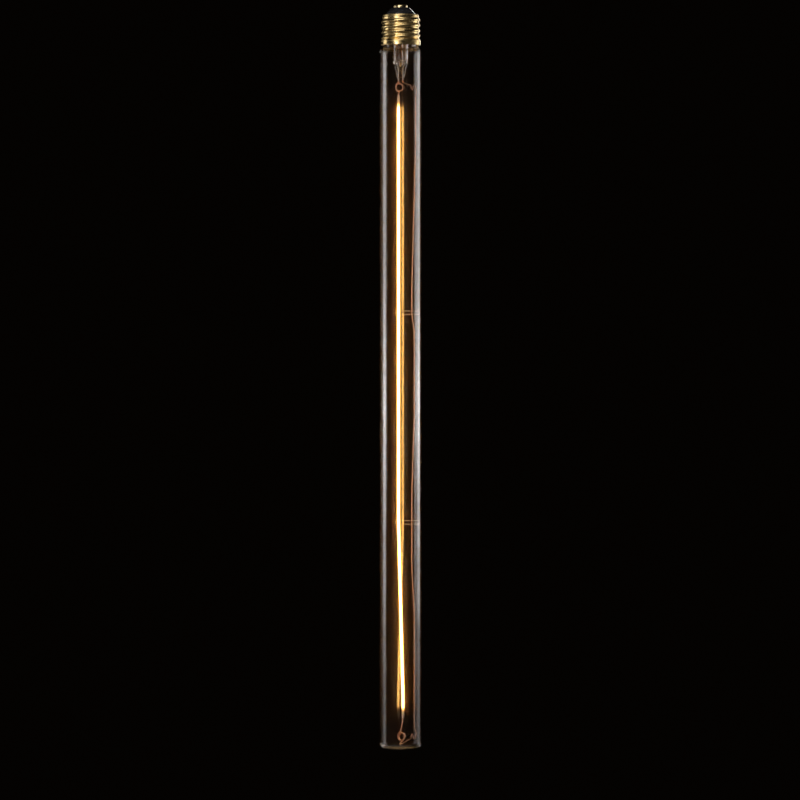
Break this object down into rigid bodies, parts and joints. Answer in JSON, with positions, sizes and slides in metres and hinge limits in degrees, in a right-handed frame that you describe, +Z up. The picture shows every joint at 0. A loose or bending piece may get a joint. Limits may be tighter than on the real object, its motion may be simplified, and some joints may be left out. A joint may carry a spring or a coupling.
{
  "type": "tubular light bulb",
  "caption": "Long clear glass tubular bulb on a brass screw cap, holding one warm lit filament strip between looped wire springs, with a return wire along its side.",
  "frame": {"origin": "middle of the centre contact's flat top face", "axes": "+Z up along the bulb's axis, out of the cap's contact; the bulb hangs below; -Y faces the camera of the picture and the return wire is on the +X side"},
  "size_m": [0.028, 0.028, 0.5],
  "materials": {
    "clear_glass": "clear polished glass",
    "lead_metal": "drawn nickel-coloured wire",
    "copper_wire": "drawn copper-coloured wire",
    "support_metal": "thin drawn wire",
    "lit_strip": "yellow phosphor coating, lit warm white",
    "tab_metal": "copper-coloured metal tab",
    "cap_brass": "rolled brass sheet",
    "insulator_black": "smooth black",
    "contact_brass": "pressed brass",
    "cement": "tan capping cement",
    "board": "green solder mask",
    "component_black": "moulded black",
    "capacitor_sleeve": "shrunk dark sleeve",
    "resistor_ceramic": "painted ceramic"
  },
  "bodies": {
    "root": {"glass_tube": "clear_glass", "glass_stem": "clear_glass", "live_lead": "lead_metal", "neutral_lead": "lead_metal", "top_spring": "copper_wire", "bottom_spring": "copper_wire", "upper_arm": "copper_wire", "lower_arm": "copper_wire", "return_wire": "copper_wire", "upper_support": "support_metal", "lower_support": "support_metal", "filament": "lit_strip", "filament_tab_top": "tab_metal", "filament_tab_bottom": "tab_metal", "screw_shell": "cap_brass", "cap_insulator": "insulator_black", "centre_contact": "contact_brass", "cap_cement": "cement", "driver_board": "board", "bridge_rectifier": "component_black", "driver_chip": "component_black", "smoothing_capacitor": "capacitor_sleeve", "fuse_resistor": "resistor_ceramic", "shell_wire": "lead_metal"}
  },
  "joints": []
}
